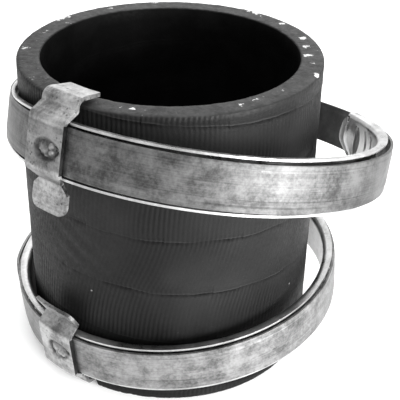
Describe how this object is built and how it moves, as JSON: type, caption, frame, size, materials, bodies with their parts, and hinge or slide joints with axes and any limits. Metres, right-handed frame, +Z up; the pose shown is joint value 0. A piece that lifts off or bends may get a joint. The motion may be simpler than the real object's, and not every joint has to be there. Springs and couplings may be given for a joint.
{
  "type": "charge air hose",
  "caption": "Short straight thick-walled rubber hose that joins two charge air pipes, with an open lined worm-drive clamp hooked over the wall at each end by a sheet clip.",
  "frame": {"origin": "centre of the footprint, on the surface the hose's lower end stands on", "axes": "+Z up along the hose's bore towards its upper end, +Y towards the clamps' screw housings, +X towards the side where the upper clamp stands off the hose"},
  "size_m": [0.1098, 0.118, 0.0901],
  "materials": {
    "hose_rubber": "matt",
    "band_steel": "zinc plated, brushed, stained",
    "liner_steel": "zinc plated, bright",
    "clip_steel": "zinc plated, dull and pitted",
    "housing_steel": "zinc plated",
    "screw_steel": "zinc plated"
  },
  "bodies": {
    "clamped_hose": {"hose": "hose_rubber", "upper_band": "band_steel", "upper_liner": "liner_steel", "upper_retaining_clip": "clip_steel", "upper_screw_housing": "housing_steel", "lower_band": "band_steel", "lower_liner": "liner_steel", "lower_retaining_clip": "clip_steel", "lower_screw_housing": "housing_steel"},
    "upper_screw": {"upper_worm_screw": "screw_steel"},
    "lower_screw": {"lower_worm_screw": "screw_steel"}
  },
  "joints": [
    {"name": "upper_screw_turn", "type": "hinge", "parent": "clamped_hose", "child": "upper_screw", "pos_m": [0.01085, 0.05256, 0.0497], "axis": [0.9757, -0.2026, -0.083], "continuous": true},
    {"name": "lower_screw_turn", "type": "hinge", "parent": "clamped_hose", "child": "lower_screw", "pos_m": [-0.02004, 0.04833, 0.01706], "axis": [0.9572, 0.2755, 0.0891], "continuous": true}
  ]
}
